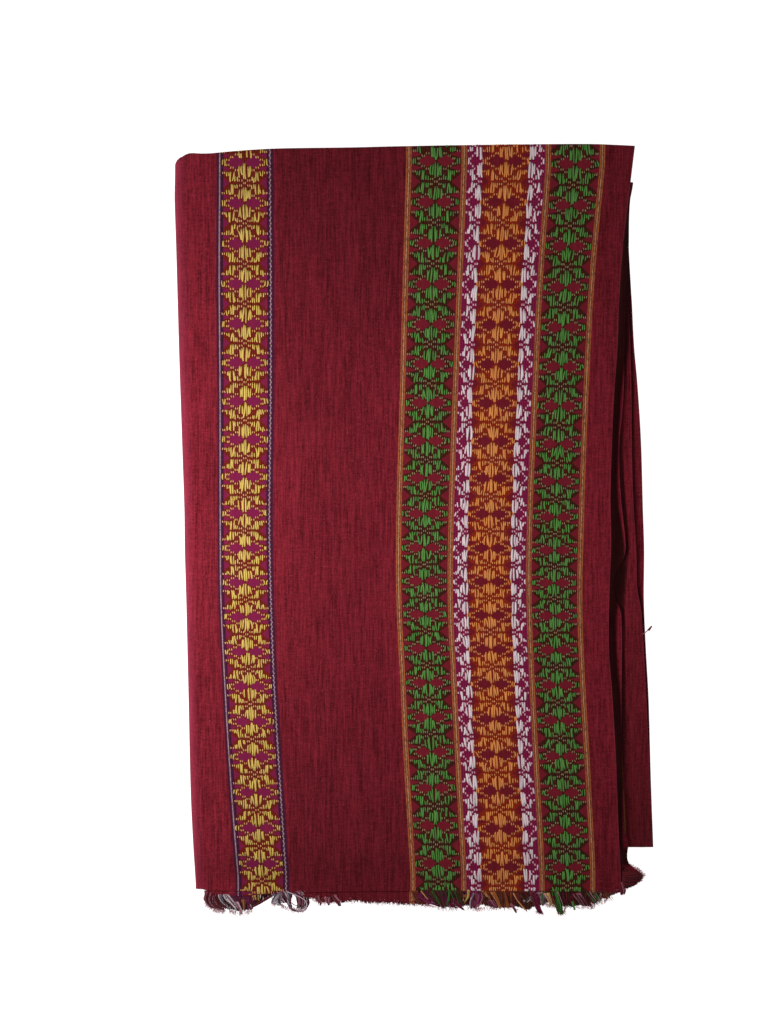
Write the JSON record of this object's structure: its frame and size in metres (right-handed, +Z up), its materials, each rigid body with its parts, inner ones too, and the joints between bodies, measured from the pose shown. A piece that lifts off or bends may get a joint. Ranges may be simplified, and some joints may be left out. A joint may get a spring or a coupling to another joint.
{
  "type": "folded dokhona",
  "caption": "Handloom cotton wrap-around dress length, folded flat, with woven figured borders along the selvedge and loose warp fringes at the lower end.",
  "frame": {"origin": "centre of the bounding box's bottom face, on the surface that the folded cloth lies on", "axes": "+Z up, +Y along the warp towards the folded top edge, +X across the cloth towards the selvedges"},
  "size_m": [0.4775, 0.7736, 0.0168],
  "materials": {
    "cloth": "matte plain-weave cotton",
    "inner_cloth": "matte plain-weave cotton",
    "fringe": "loose cotton yarn",
    "figured_floats": "soft coloured cotton floats"
  },
  "bodies": {
    "root": {"upper_stretch": "cloth", "second_ply": "cloth", "inner_fold": "cloth", "core_layers": "inner_cloth", "under_stretch": "cloth", "upper_fringe": "fringe", "second_fringe": "fringe", "lower_fringe": "fringe"}
  },
  "joints": []
}
